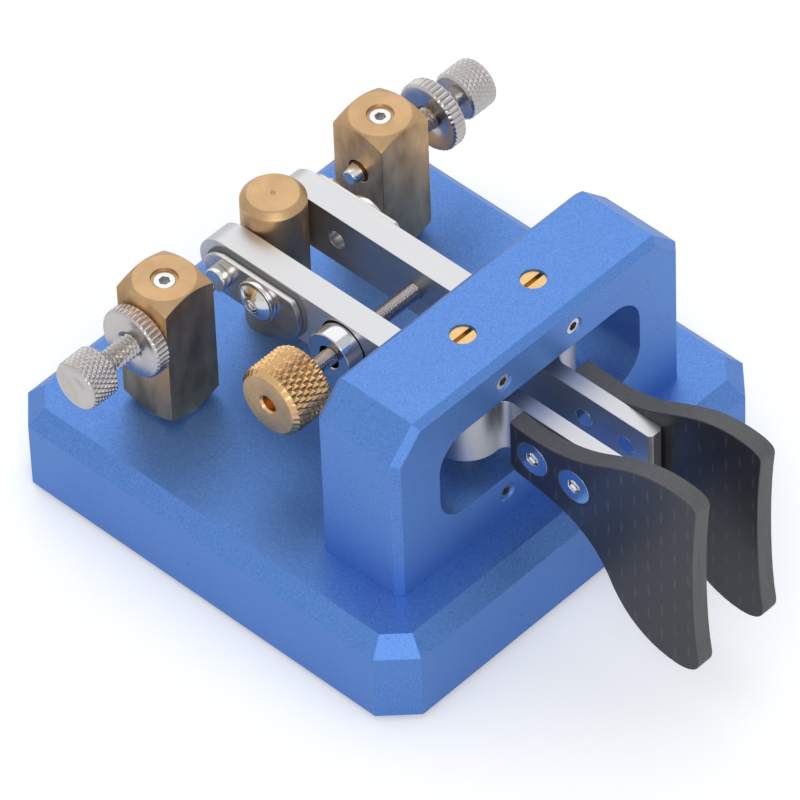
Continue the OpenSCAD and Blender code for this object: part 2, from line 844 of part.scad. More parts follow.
module left_bearing_outer_rings() {
  color("silver") mirror([1, 0, 0]) bearing_places() outer_ring();
}

// Square post whose ends are turned, so that a cone cuts each of its corners
module contact_post() {
  low = base_top + bush_flange;
  high = base_top + post_h;
  // The cones run on past the post's corners
  clear_d = post_turned_d + post_cone_share * (post_w * sqrt(2) - post_turned_d);
  clear_h = post_cone_share * post_cone_h;
  translate([post_x, contact_y, 0]) difference() {
    intersection() {
      translate([-post_w / 2, -post_w / 2, low]) cube([post_w, post_w, high - low]);
      union() {
        translate([0, 0, low]) cylinder(d1 = post_turned_d, d2 = clear_d, h = clear_h);
        bar_z(clear_d, low + clear_h, high - clear_h);
        translate([0, 0, high - clear_h]) cylinder(d1 = clear_d, d2 = post_turned_d, h = clear_h);
      }
    }
    bar_z(post_screw_d + 2 * seat_gap, low - overrun, low + post_screw_bite + overrun);
    bar_z(set_screw_d + 2 * seat_gap, lever_z, high + overrun);
    bar_z(set_screw_d + 2 * set_bore_rim, high - set_screw_sunk, high + overrun);
    translate([0, 0, lever_z]) bar_x(contact_screw_d + 2 * run_gap, -post_w, post_w);
  }
}

module right_contact_post() {
  color("peru") contact_post();
}

module left_contact_post() {
  color("peru") mirror([1, 0, 0]) contact_post();
}

module post_set_screws() {
  high = base_top + post_h - set_screw_sunk;
  color("dimgray") both_sides() translate([post_x, contact_y, 0]) difference() {
    bar_z(set_screw_d, max(high - set_screw_len, lever_z + contact_screw_d / 2 + run_gap), high);
    hex_z(set_hex, high - set_hex_depth, high + overrun);
  }
}

// Shoulder bushes that keep the contact posts and their screws off the base plate
module post_bushes() {
  color("ivory") both_sides() translate([post_x, contact_y, 0]) difference() {
    union() {
      bar_z(post_bush_d, channel_roof, base_top);
      bar_z(post_bush_flange_d, base_top, base_top + bush_flange);
    }
    bar_z(post_screw_d + 2 * seat_gap, base_z, base_top + bush_flange + overrun);
  }
}

module post_washers() {
  color("ivory") both_sides() translate([post_x, contact_y, 0])
    tube_z(post_washer_d, post_screw_d + 2 * seat_gap, lug_seat, channel_roof);
}

// Ring that a wire is soldered to, with its tab turned to point along the channel
module solder_lug(seat, turn) {
  rotate([0, 0, turn]) difference() {
    union() {
      bar_z(lug_d, seat - lug_t, seat);
      translate([0, -lug_tab_w / 2, seat - lug_t]) cube([lug_d / 2 + lug_tab_len, lug_tab_w, lug_t]);
    }
    bar_z(post_screw_d + 2 * seat_gap, base_z, seat + overrun);
  }
}

module solder_lugs() {
  color("gold") {
    translate([-post_x, contact_y, 0]) solder_lug(lug_seat, 0);
    translate([post_x, contact_y, 0]) solder_lug(lug_seat, 180);
  }
}

module pan_screw(seat, top) {
  difference() {
    union() {
      bar_z(pan_head_d, seat - pan_head_h, seat);
      bar_z(post_screw_d, seat, top);
    }
    hex_z(hex_small, seat - pan_head_h - overrun, seat - pan_head_h / 2);
  }
}

module post_screws() {
  color("silver") {
    both_sides() translate([post_x, contact_y, 0])
      pan_screw(lug_seat - lug_t, base_top + bush_flange + post_screw_bite);
    translate([0, contact_y, 0]) pan_screw(lug_seat, base_top + post_screw_bite);
  }
}

// Thumb screw with a plain nose, a threaded shank, a knurled head and a blind bore for its contact point
module contact_screw() {
  head_x = contact_screw_end - contact_head_len;
  translate([0, contact_y, lever_z]) difference() {
    union() {
      bar_x(contact_screw_d - 2 * head_chamfer, screw_tip_x, screw_tip_x + screw_nose_len);
      bar_x(contact_screw_d, screw_tip_x + screw_nose_len, head_x);
      chamfered_bar_x(contact_head_d, head_x, contact_screw_end, head_chamfer);
    }
    bar_x(point_stem_d + 2 * run_gap, screw_tip_x - overrun, screw_tip_x + point_stem_len + run_gap);
  }
}

module right_contact_screw() {
  color("silver") translate([right_screw_out, 0, 0]) contact_screw();
}

module left_contact_screw() {
  color("silver") mirror([1, 0, 0]) contact_screw();
}

// Silver contact point: a tapered button with a stem in the end of the contact screw
module contact_point() {
  translate([0, contact_y, lever_z]) {
    taper_x(point_tip_d, point_d, point_x, screw_tip_x - run_gap);
    bar_x(point_stem_d, screw_tip_x - run_gap, screw_tip_x + point_stem_len);
  }
}

module right_contact_point() {
  color("whitesmoke") translate([right_screw_out, 0, 0]) contact_point();
}

module left_contact_point() {
  color("whitesmoke") mirror([1, 0, 0]) contact_point();
}

module lock_nut() {
  translate([0, contact_y, lever_z]) difference() {
    chamfered_bar_x(nut_d, nut_x, nut_x + nut_t, nut_chamfer);
    bar_x(contact_screw_d + 2 * run_gap, nut_x - overrun, nut_x + nut_t + overrun);
  }
}

module right_lock_nut() {
  color("silver") translate([right_nut_out, 0, 0]) lock_nut();
}

module left_lock_nut() {
  color("silver") mirror([1, 0, 0]) lock_nut();
}

module stop_post() {
  high = base_top + post_h + stop_chamfer / 2;
  color("peru") translate([0, contact_y, 0]) difference() {
    union() {
      bar_z(stop_d, base_top, high - stop_chamfer);
      translate([0, 0, high - stop_chamfer]) cylinder(d1 = stop_d, d2 = stop_d - 2 * stop_chamfer, h = stop_chamfer);
    }
    bar_z(post_screw_d + 2 * seat_gap, base_top - overrun, base_top + post_screw_bite + overrun);
    translate([0, 0, high - stop_centre_depth]) cylinder(d1 = 0, d2 = stop_centre_d, h = stop_centre_depth);
  }
}

module tension_rod() {
  color("silver") translate([0, -rod_back, lever_z]) bar_x(rod_d, rod_inset - knob_end, rear_outer);
}

module magnet(from, to) {
  difference() {
    bar_x(magnet_d, from, to);
    bar_x(magnet_hole_d, from - overrun, to + overrun);
  }
}

module lever_magnet() {
  pocket_floor = magnet_pocket - rear_outer;
  color("silver") translate([0, -rod_back, lever_z]) magnet(pocket_floor - magnet_t, pocket_floor);
}

// The second ring magnet sits in the knob's inner end and pushes the first one away
module knob_magnet() {
  pocket_floor = knob_face_x - knob_pocket;
  color("silver") translate([0, -rod_back, lever_z]) magnet(pocket_floor + run_gap, knob_face_x);
}

module tension_knob() {
  color("goldenrod") translate([0, -rod_back, lever_z]) difference() {
    chamfered_bar_x(knob_d, -knob_end, knob_face_x, knob_chamfer);
    bar_x(rod_d + 2 * run_gap, -knob_end - overrun, knob_face_x);
    bar_x(magnet_d + 2 * run_gap, knob_face_x - knob_pocket, knob_face_x + overrun);
  }
}

module jack_along(from, to, d) {
  translate([0, to, jack_z]) rotate([90, 0, 0]) cylinder(d = d, h = to - from);
}

module jack_body() {
  half = jack_body_w / 2;
  color("black") difference() {
    translate([-half, jack_end_y, jack_z - half]) cube([jack_body_w, jack_body_len, jack_body_w]);
    jack_along(jack_end_y + jack_bore_end, jack_body_y + overrun, jack_bore_d);
  }
}

module jack_barrel() {
  color("silver") difference() {
    jack_along(jack_body_y, jack_body_y + jack_barrel_len, jack_barrel_d);
    jack_along(jack_body_y - overrun, jack_face_y + jack_barrel_len, jack_bore_d);
  }
}

module jack_nut() {
  color("silver") difference() {
    jack_along(jack_face_y, jack_face_y + jack_nut_t, jack_nut_d);
    jack_along(jack_face_y - overrun, jack_face_y + jack_nut_t + overrun, jack_barrel_d + 2 * seat_gap);
  }
}

// Two solder terminals behind the jack body, lying on the wires. Its barrel is earthed by the base.
module jack_terminals() {
  color("gold") both_sides()
    translate([terminal_side - terminal_w / 2, jack_end_y - terminal_len, wire_z + wire_d / 2])
      cube([terminal_w, terminal_len, terminal_t]);
}

// Insulated wire from a lug to its terminal: along the channel, round a bend and up to the jack
module wire() {
  start_x = post_x - lug_d / 2 - lug_tab_len / 2;
  bend_x = wire_x + wire_bend_r;
  bend_y = contact_y + wire_bend_r;
  end_y = jack_end_y - wire_room;
  translate([0, 0, wire_z]) {
    translate([0, contact_y, 0]) bar_x(wire_d, bend_x, start_x);
    translate([bend_x, bend_y, 0]) rotate([0, 0, 180]) rotate_extrude(angle = 90) translate([wire_bend_r, 0]) circle(d = wire_d);
    translate([wire_x, end_y, 0]) rotate([90, 0, 0]) cylinder(d = wire_d, h = end_y - bend_y);
  }
}

module wires() {
  color("crimson") both_sides() wire();
}

base_plate();
rubber_feet();
bridge_block();
bridge_screws();
left_lever();
right_lever();
left_paddle();
right_paddle();
left_paddle_screws();
right_paddle_screws();
left_contact_plate();
right_contact_plate();
left_contact_rivet();
right_contact_rivet();
left_plate_backing();
right_plate_backing();
left_plate_screw();
right_plate_screw();
pivot_screws();
pivot_lock_screws();
bearing_inner_rings();
bearing_balls();
left_bearing_outer_rings();
right_bearing_outer_rings();
left_contact_post();
right_contact_post();
post_set_screws();
post_bushes();
post_washers();
post_screws();
solder_lugs();
left_contact_screw();
right_contact_screw();
left_contact_point();
right_contact_point();
left_lock_nut();
right_lock_nut();
stop_post();
tension_rod();
tension_knob();
knob_magnet();
lever_magnet();
jack_body();
jack_barrel();
jack_nut();
jack_terminals();
wires();
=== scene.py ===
import math
import bmesh
import bpy
from mathutils import Matrix, Vector


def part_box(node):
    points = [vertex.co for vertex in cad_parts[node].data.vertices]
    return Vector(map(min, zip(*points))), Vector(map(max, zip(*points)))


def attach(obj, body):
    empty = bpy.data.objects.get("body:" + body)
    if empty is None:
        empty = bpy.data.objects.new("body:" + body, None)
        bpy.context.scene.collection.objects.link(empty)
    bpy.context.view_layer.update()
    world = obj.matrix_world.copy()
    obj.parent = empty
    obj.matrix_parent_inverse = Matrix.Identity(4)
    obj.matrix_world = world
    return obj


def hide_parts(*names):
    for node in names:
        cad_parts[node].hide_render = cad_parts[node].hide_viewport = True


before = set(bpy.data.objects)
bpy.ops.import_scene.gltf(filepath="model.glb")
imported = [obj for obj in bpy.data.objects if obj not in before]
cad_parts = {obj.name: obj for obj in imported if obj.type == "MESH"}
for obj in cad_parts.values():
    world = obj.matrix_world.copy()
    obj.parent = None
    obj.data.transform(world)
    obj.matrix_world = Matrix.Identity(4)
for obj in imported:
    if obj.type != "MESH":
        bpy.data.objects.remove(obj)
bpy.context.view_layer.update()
MM = 0.001

# The camera stands in front and to the left, looking down at the angle of the photograph
# through a long lens, so that the edges of the base stay almost parallel.
view_azimuth = math.radians(-45.095)
view_height = math.radians(46.033)
view_roll = math.radians(-2.297)
sensor_width, focal_length = 36, 397.42
camera_place = Vector((-0.60191, -0.60261, 0.89406))
towards_camera = Vector((math.sin(view_azimuth) * math.cos(view_height),
                         -math.cos(view_azimuth) * math.cos(view_height),
                         math.sin(view_height)))
level_right = (-towards_camera).cross(Vector((0, 0, 1))).normalized()
level_up = level_right.cross(-towards_camera)
rolled_right = level_right * math.cos(view_roll) + level_up * math.sin(view_roll)
rolled_up = level_up * math.cos(view_roll) - level_right * math.sin(view_roll)
lens = bpy.data.cameras.new("photo_camera")
lens.sensor_width = sensor_width
lens.lens = focal_length
camera = bpy.data.objects.new("photo_camera", lens)
stand = Matrix((rolled_right, rolled_up, towards_camera)).transposed().to_4x4()
camera.matrix_world = Matrix.Translation(camera_place) @ stand
bpy.context.scene.collection.objects.link(camera)
bpy.context.scene.camera = camera
bpy.context.scene.view_settings.view_transform = "Standard"


class Reading:
    """One value that varies over a surface, written in Python arithmetic."""

    def __init__(self, paint, socket):
        self.paint = paint
        self.socket = socket

    def work(self, operation, *others):
        return self.paint.node("ShaderNodeMath", {"operation": operation}, [self, *others])

    def __add__(self, other):
        return self.work("ADD", other)

    def __mul__(self, other):
        return self.work("MULTIPLY", other)

    def __sub__(self, other):
        return self.work("SUBTRACT", other)

    def __rsub__(self, other):
        return self.paint.node("ShaderNodeMath", {"operation": "SUBTRACT"}, [other, self])

    def __truediv__(self, other):
        return self.work("DIVIDE", other)

    def __pow__(self, other):
        return self.work("POWER", other)


class Paint:
    """A material of one Principled shader, with the nodes that vary it."""

    def __init__(self, name, colour, roughness, metallic=0.0, **fixed):
        self.material = bpy.data.materials.new(name)
        self.material.use_nodes = True
        self.tree = self.material.node_tree
        self.shader = self.tree.nodes["Principled BSDF"]
        self.set("Base Color", colour)
        self.set("Roughness", roughness)
        self.set("Metallic", metallic)
        for socket, value in fixed.items():
            self.set(socket.replace("_", " "), value)

    def fill(self, socket, value):
        if isinstance(value, Reading):
            self.tree.links.new(value.socket, socket)
        elif isinstance(value, tuple) and len(value) == 3 and socket.type == "RGBA":
            socket.default_value = (*value, 1)
        else:
            socket.default_value = value

    def node(self, kind, settings=None, sockets=(), out=0):
        made = self.tree.nodes.new(kind)
        for name, value in (settings or {}).items():
            if name == "stops":
                ramp = made.color_ramp.elements
                for place, (position, shade) in enumerate(value):
                    stop = ramp[place] if place < 2 else ramp.new(position)
                    stop.position = position
                    stop.color = (shade, shade, shade, 1)
            else:
                setattr(made, name, value)
        pairs = sockets.items() if isinstance(sockets, dict) else enumerate(sockets)
        for key, value in pairs:
            self.fill(made.inputs[key], value)
        return Reading(self, made.outputs[out])

    def set(self, socket, value):
        self.fill(self.shader.inputs[socket], value)

    def place(self, scale=(1, 1, 1), centre=(0, 0, 0)):
        spot = self.node("ShaderNodeTexCoord", out="Object")
        moved = self.node("ShaderNodeMapping", sockets={
            "Vector": spot, "Location": tuple(-c for c in centre)})
        return self.node("ShaderNodeMapping", sockets={"Vector": moved, "Scale": scale})

    def noise(self, scale, detail, where=None):
        return self.node("ShaderNodeTexNoise", sockets={
            "Vector": where or self.place(), "Scale": scale, "Detail": detail})

    def ramp(self, value, *stops):
        return self.node("ShaderNodeValToRGB", {"stops": stops}, [value])

    def blend(self, amount, first, second):
        return self.node("ShaderNodeMix", {"data_type": "RGBA"}, {0: amount, 6: first, 7: second}, out=2)

    def split(self, vector, axis):
        return self.node("ShaderNodeSeparateXYZ", sockets=[vector], out=axis)

    def bump(self, height, depth, strength):
        self.set("Normal", self.node("ShaderNodeBump", sockets={
            "Height": height, "Distance": depth, "Strength": strength}))

    def upward(self):
        return self.split(self.node("ShaderNodeTexCoord", out="Normal"), 2)

    def about(self, centre, pitch):
        """Fine rings round an axis that runs along X, as a lathe tool leaves them on a face."""
        spot = self.place(centre=centre)
        reach = (self.split(spot, 1) ** 2 + self.split(spot, 2) ** 2) ** 0.5
        return (reach / pitch).work("FRACT")

    def on(self, *pieces):
        for piece in pieces:
            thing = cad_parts[piece] if isinstance(piece, str) else piece
            thing.data.materials.clear()
            thing.data.materials.append(self.material)


def add_object(name, shape):
    """Makes an object of a bmesh and links it to the scene."""
    mesh = bpy.data.meshes.new(name)
    shape.to_mesh(mesh)
    shape.free()
    thing = bpy.data.objects.new(name, mesh)
    bpy.context.scene.collection.objects.link(thing)
    return thing


def stand_in(piece, body, node):
    """Lets a piece ride a body in place of a CAD node."""
    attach(piece, body)
    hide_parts(node)


def dress(paint, slot, *pieces):
    """Gives pieces their material. The slot argument is not used."""
    paint.on(*pieces)


# The table is a wide sheet of white paper under the rubber feet. It is lit by a large soft box
# behind the keyer, a smaller one by the camera, and an even grey room. To the camera alone
# the sheet glows a little, so that it burns out to white.
sheet_half = 3
glow_to_camera = 0.26
room_colour, room_strength = (0.95, 0.97, 1.0), 0.78
paper = bmesh.new()
bmesh.ops.create_grid(paper, x_segments=1, y_segments=1, size=sheet_half)
table_sheet = add_object("table_sheet", paper)
paper_white = Paint("white_paper", (0.93, 0.93, 0.93), 0.9, Specular_IOR_Level=0.0,
                    Emission_Strength=glow_to_camera)
seen_directly = paper_white.node("ShaderNodeLightPath")
paper_white.set("Emission Color", paper_white.blend(seen_directly, (0, 0, 0), (1, 1, 1)))
paper_white.on(table_sheet)
room = bpy.data.worlds.new("grey_room")
room.use_nodes = True
grey = room.node_tree.nodes["Background"]
grey.inputs["Color"].default_value = (*room_colour, 1)
grey.inputs["Strength"].default_value = room_strength
bpy.context.scene.world = room
for name, direction, distance, side, power in (
        ("rear_soft_box", (0.50, 0.50, 0.71), 1.3, 1.3, 3.2),
        ("camera_soft_box", (-0.56, -0.62, 0.54), 1.5, 0.9, 4.6)):
    lamp = bpy.data.lights.new(name, "AREA")
    lamp.shape = "SQUARE"
    lamp.size = side
    lamp.energy = power
    box = bpy.data.objects.new(name, lamp)
    box.matrix_world = Matrix.Translation(Vector(direction).normalized() * distance) @ Vector(
        direction).to_track_quat("Z", "Y").to_matrix().to_4x4()
    bpy.context.scene.collection.objects.link(box)


# The base plate and the bridge block are milled from aluminium bar, blasted with fine glass beads
# and anodised blue. The cutter's edges are broken by hand, and the bridge is screwed on from below.
WELD = 0.002 * MM
SAME_FACE = math.radians(0.4)
SHARP_EDGE = math.radians(30)


def eased(node, body, width, segments=2):
    """A merged copy of a CAD node with its sharp edges broken, width in millimetres."""
    shape = bmesh.new()
    shape.from_mesh(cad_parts[node].data)
    bmesh.ops.remove_doubles(shape, verts=shape.verts, dist=WELD)
    bmesh.ops.dissolve_limit(shape, angle_limit=SAME_FACE, verts=shape.verts, edges=shape.edges)
    piece = add_object(node + "_finished", shape)
    for face in piece.data.polygons:
        face.use_smooth = True
    edge = piece.modifiers.new("broken_edges", "BEVEL")
    edge.width = width * MM
    edge.segments = segments
    edge.limit_method = "ANGLE"
    edge.angle_limit = SHARP_EDGE
    edge.miter_outer = "MITER_ARC"
    flats = piece.modifiers.new("true_flats", "WEIGHTED_NORMAL")
    flats.weight = 100
    stand_in(piece, body, node)
    return piece


anodised = Paint("blue_anodising", (0.1, 0.25, 0.7), 0.42, 0.62, Specular_IOR_Level=0.5)
grain = anodised.noise(5200, 2)
cloud = anodised.noise(60, 3)
fleck = anodised.ramp(anodised.noise(1500, 1), (0.74, 0), (0.77, 1))
tint = anodised.blend(cloud, (0.068, 0.200, 0.590), (0.096, 0.248, 0.655))
tint = anodised.blend(anodised.ramp(grain, (0.35, 0), (0.75, 1)) * 0.45, tint, (0.26, 0.46, 0.86))
tint = anodised.blend(fleck * 0.5, tint, (0.03, 0.08, 0.25))
anodised.set("Base Color", tint)
anodised.set("Roughness", grain * 0.16 + 0.34)
anodised.bump(grain, 0.00004, 0.55)
for block in ("base_plate", "bridge_block"):
    dress(anodised, "anodised", eased(block, "frame", 0.12))

# Five rubber feet are pressed into recesses under the base plate.
# They are moulded, matt and black.
rubber = Paint("moulded_rubber", (0.018, 0.018, 0.02), 0.75)
rubber.bump(rubber.noise(1500, 3), 0.00005, 0.4)
rubber.on("rubber_feet")

# The two levers are milled from aluminium bar, tumbled to a satin and bored for the pivots.
# Fine tool lines run along the arms, and the edges are lightly broken.
satin = Paint("satin_aluminium", (0.8, 0.8, 0.81), 0.4, 1.0)
along = satin.noise(900, 3, satin.place(scale=(1, 0.04, 1)))
speck = satin.noise(2600, 2)
satin.set("Base Color", satin.blend(along, (0.59, 0.585, 0.59), (0.68, 0.675, 0.68)))
satin.set("Roughness", along * 0.12 + 0.34)
satin.bump(along + speck * 0.5, 0.00002, 0.5)
for side in ("left", "right"):
    dress(satin, "aluminium", eased(side + "_lever", side + "_lever_arm", 0.14))

# The finger pieces are sawn from carbon fibre sheet. Their faces are clear epoxy over a twill weave,
# and their sanded edges show the dull layers of the sheet.
tow = 2.4 * MM
dash_pitch = 1.9 * tow
layer = 0.42 * MM
carbon = Paint("carbon_sheet", (0.02, 0.022, 0.026), 0.3, 0.0, Specular_IOR_Level=0.6)
spot = carbon.place()
height = carbon.split(spot, 2)
run = carbon.split(spot, 1)
column = (run / tow).work("FLOOR")
climb = (height / dash_pitch + column * 0.5).work("FRACT")
across = (run / tow).work("FRACT")
dash = carbon.ramp(climb, (0.42, 1), (0.50, 0)) * carbon.ramp(climb, (0.02, 0), (0.08, 1))
dash = dash * carbon.ramp(across, (0.40, 0), (0.47, 1)) * carbon.ramp(across, (0.53, 1), (0.60, 0))
facing = carbon.split(carbon.node("ShaderNodeTexCoord", out="Normal"), 0).work("ABSOLUTE")
face_on = carbon.ramp(facing, (0.8, 0), (0.95, 1))
thickness = carbon.split(spot, 0)
layers = carbon.ramp((thickness / layer).work("FRACT"), (0.35, 0), (0.6, 1))
fibre = carbon.noise(1400, 3, carbon.place(scale=(1, 1, 0.12)))
edge_shade = carbon.blend(layers * 0.25 + fibre * 0.6, (0.045, 0.045, 0.048), (0.13, 0.13, 0.135))
face_shade = carbon.blend(dash * fibre, (0.020, 0.021, 0.027), (0.075, 0.078, 0.088))
carbon.set("Base Color", carbon.blend(face_on, edge_shade, face_shade))
carbon.set("Roughness", (1 - face_on) * 0.3 + fibre * 0.1 + 0.26)
carbon.bump(dash * 0.4 + fibre * 0.3 + layers * (1 - face_on) * 0.5, 0.00002, 0.4)
for side in ("left", "right"):
    dress(carbon, "carbon", eased(side + "_paddle", side + "_lever_arm", 0.22, segments=3))

# Small screws and the bearings are stainless steel, with pressed sockets.
# The set screws are a little duller than the rest.
bright = Paint("bright_steel", (0.78, 0.77, 0.76), 0.14, 1.0)
swirl = bright.noise(1800, 2)
bright.set("Roughness", swirl * 0.05 + 0.12)
bright.set("Base Color", bright.blend(swirl, (0.70, 0.69, 0.68), (0.82, 0.81, 0.80)))
bright.on("bridge_screws", "post_screws", "bearing_inner_rings", "bearing_balls",
          "left_bearing_outer_rings", "right_bearing_outer_rings", "jack_barrel", "jack_nut")
set_steel = Paint("set_screw_steel", (0.74, 0.73, 0.72), 0.2, 1.0)
set_steel.set("Roughness", set_steel.noise(1500, 2) * 0.16 + 0.16)
set_steel.on("post_set_screws", "pivot_lock_screws")
for side in ("left", "right"):
    for what, width in (("_paddle_screws", 0.08), ("_plate_screw", 0.10)):
        dress(bright, "steel", eased(side + what, side + "_lever_arm", width))

# Each contact plate is ground stainless steel on a thin grey insulating sheet, and carries
# a turned silver rivet that meets the contact screw's point.
ground = Paint("ground_plate", (0.55, 0.53, 0.52), 0.24, 1.0)
lines = ground.noise(1400, 2, ground.place(scale=(1, 0.05, 1)))
ground.set("Base Color", ground.blend(lines, (0.50, 0.48, 0.47), (0.70, 0.68, 0.67)))
ground.set("Roughness", lines * 0.16 + 0.16)
ground.bump(lines, 0.000015, 0.4)
sheet = Paint("grey_insulation", (0.16, 0.16, 0.17), 0.55)
sheet.bump(sheet.noise(1800, 2), 0.00003, 0.3)
sheet.on("left_plate_backing", "right_plate_backing")
silver = Paint("turned_silver", (0.86, 0.84, 0.78), 0.12, 1.0)
turning = silver.noise(2200, 2, silver.place(scale=(3, 0.3, 0.3)))
silver.set("Roughness", turning * 0.14 + 0.08)
silver.bump(turning, 0.00001, 0.4)
for side in ("left", "right"):
    dress(ground, "plate_steel", eased(side + "_contact_plate", side + "_lever_arm", 0.14, segments=3))
    dress(silver, "silver", eased(side + "_contact_rivet", side + "_lever_arm", 0.10),
          eased(side + "_contact_point", side + "_point_slide", 0.10))

# The contact posts, the stop post and the pivot screws are brass bar.
# Upward faces take an even brass colour. The sides take a brass with stronger dark blotches, partly
# painted shade for the dim room that the sides face and partly stains picked up in handling.
brass = Paint("handled_brass", (0.7, 0.5, 0.28), 0.28, 1.0)
# Face direction picks the colour: upward faces unshaded, sides with painted shade mixed into their stains.
unshaded_top_mask = brass.ramp(brass.upward(), (0.35, 0), (0.65, 1))
stain = brass.ramp(brass.noise(260, 4, brass.place(scale=(1, 1, 0.45))), (0.32, 0), (0.66, 1))
draw = brass.noise(1500, 2, brass.place(scale=(1, 1, 0.03)))
unshaded_top_brass = brass.blend(stain, (0.52, 0.335, 0.175), (0.63, 0.41, 0.215))
# The dark end of the side colour is partly painted shade, partly stains.
side_shade_and_stains = brass.blend(stain, (0.42, 0.25, 0.12), (0.84, 0.55, 0.27))
brass.set("Base Color", brass.blend(unshaded_top_mask, side_shade_and_stains, unshaded_top_brass))
brass.set("Roughness", unshaded_top_mask * 0.02 + draw * 0.12 + 0.34)
brass.bump(draw, 0.000008, 0.4)
for post in ("left_contact_post", "right_contact_post", "stop_post"):
    dress(brass, "brass", eased(post, "frame", 0.12))
pivot_brass = Paint("pivot_brass", (0.72, 0.47, 0.20), 0.26, 1.0)
worn = pivot_brass.noise(900, 3)
pivot_brass.set("Base Color", pivot_brass.blend(worn, (0.60, 0.38, 0.15), (0.80, 0.55, 0.26)))
pivot_brass.set("Roughness", worn * 0.2 + 0.16)
pivot_brass.on("pivot_screws")

# Tension knob, tension rod, contact screws and lock nuts are turned on a lathe. Knobs and nuts are
# knurled with rolled wheels, and threads are cut with a die. Sizes in these pieces are millimetres.
WHOLE_TURN = 2 * math.pi
SHARP_TURNING = math.radians(38)


def turned(name, path, around, pattern, centre, mirrored=False):
    """Wraps a grid round the X axis: path holds (along, radius, depth of pattern)."""
    shape = bmesh.new()
    steps = len(path) - 1
    bmesh.ops.create_grid(shape, x_segments=steps, y_segments=around, size=0.5)
    for vert in shape.verts:
        along, radius, depth = path[round((vert.co.x + 0.5) * steps)]
        turn = round((vert.co.y + 0.5) * around) / around * WHOLE_TURN
        if depth:
            radius = radius - depth * pattern(along, turn)
        vert.co = Vector((along, radius * math.cos(turn), radius * math.sin(turn))) * MM
    bmesh.ops.remove_doubles(shape, verts=shape.verts, dist=WELD / 2)
    rims = [edge for edge in shape.edges if edge.is_boundary]
    if rims:
        bmesh.ops.holes_fill(shape, edges=rims)
    if mirrored:
        bmesh.ops.scale(shape, verts=shape.verts, vec=(-1, 1, 1))
    bmesh.ops.translate(shape, verts=shape.verts, vec=centre)
    bmesh.ops.recalc_face_normals(shape, faces=shape.faces)
    piece = add_object(name, shape)
    piece.data.shade_smooth()
    piece.data.set_sharp_from_angle(angle=SHARP_TURNING)
    return piece


def span(node):
    """Where a CAD node starts and ends along X, and its radius."""
    low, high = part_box(node)
    return low.x / MM, high.x / MM, (high.z - low.z) / 2 / MM


def span_outwards(node):
    """The same for one of a pair, counted outwards from the middle of the keyer."""
    start, end, radius = span(node)
    near, far = sorted((abs(start), abs(end)))
    return near, far, radius


def axis_of(node):
    """The line that a node is turned round, as a point at x = 0 in metres."""
    low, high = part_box(node)
    return Vector((0, (low.y + high.y) / 2, (low.z + high.z) / 2))


def spread(start, end, radius, depth, count):
    """Even steps along a patterned stretch of a turned piece's path."""
    return [(start + (end - start) * step / count, radius, depth) for step in range(count + 1)]


def ridge(value):
    """A pointed ridge once each whole number."""
    return abs((value % 1.0) * 2 - 1)


def diamonds(count, pitch, sharp):
    """Two crossing sets of slanted grooves, count round the bar and pitch along it."""
    def pattern(along, turn):
        first = ridge(turn / WHOLE_TURN * count + along / pitch)
        second = ridge(turn / WHOLE_TURN * count - along / pitch)
        return max(first, second) ** sharp
    return pattern


def flutes(count, sharp):
    """Straight grooves along the bar, count round it."""
    return lambda along, turn: ridge(turn / WHOLE_TURN * count) ** sharp


def die_cut(pitch):
    """The helix of a thread."""
    return lambda along, turn: ridge(along / pitch - turn / WHOLE_TURN)


# The tension knob is brass, with a coarse knurl between two bevels. Its thread runs on the
# tension rod, and a pocket in its inner end holds the second magnet.
bore_play, bore_shown = 0.03, 4.5
mouth_depth, mouth_flare = 0.35, 0.3
face_rim, face_round, face_drop = 0.85, 0.07, 0.06
outer_bevel, bevel_crest = 0.75, 0.05
knurl_clear, inner_bevel, knurl_depth = 0.1, 0.5, 0.42
inner_round, inner_drop, inner_rim = 0.1, 0.35, 0.6
pocket_r, pocket_depth, pocket_hole_r = 3.95, 4.9, 1.3
rod_start, rod_end, rod_r = span("tension_rod")
outer_x, inner_x, knob_r = span("tension_knob")
knob_axis = axis_of("tension_knob")
bore_r = rod_r + bore_play
knob_path = [(outer_x + bore_shown, bore_r, 0), (outer_x + mouth_depth, bore_r, 0),
             (outer_x, bore_r + mouth_flare, 0), (outer_x, knob_r - face_rim, 0),
             (outer_x + face_drop, knob_r - face_rim + face_round, 0),
             (outer_x + outer_bevel, knob_r - bevel_crest, 0.25)]
knob_path += spread(outer_x + outer_bevel + knurl_clear, inner_x - inner_bevel, knob_r, knurl_depth, 46)
knob_path += [(inner_x - inner_round, knob_r - inner_drop, 0.1), (inner_x, knob_r - inner_rim, 0),
              (inner_x, pocket_r, 0), (inner_x - pocket_depth, pocket_r, 0),
              (inner_x - pocket_depth, pocket_hole_r, 0)]
knob_brass = Paint("knurled_brass", (0.78, 0.58, 0.33), 0.22, 1.0)
tarnish = knob_brass.noise(700, 3)
rings = knob_brass.noise(1600, 2, knob_brass.place(scale=(2.5, 0.25, 0.25)))
knob_brass.set("Base Color", knob_brass.blend(tarnish, (0.72, 0.42, 0.18), (0.93, 0.62, 0.31)))
knob_brass.set("Roughness", rings * 0.14 + 0.18)
knob_brass.bump(rings + knob_brass.about(knob_axis, 0.2 * MM) * 0.7, 0.00002, 0.4)
knob = turned("tension_knob_turned", knob_path, 264, diamonds(33, 1.9, 1.3), knob_axis)
stand_in(knob, "knob_turn", "tension_knob")
dress(knob_brass, "brass", knob)

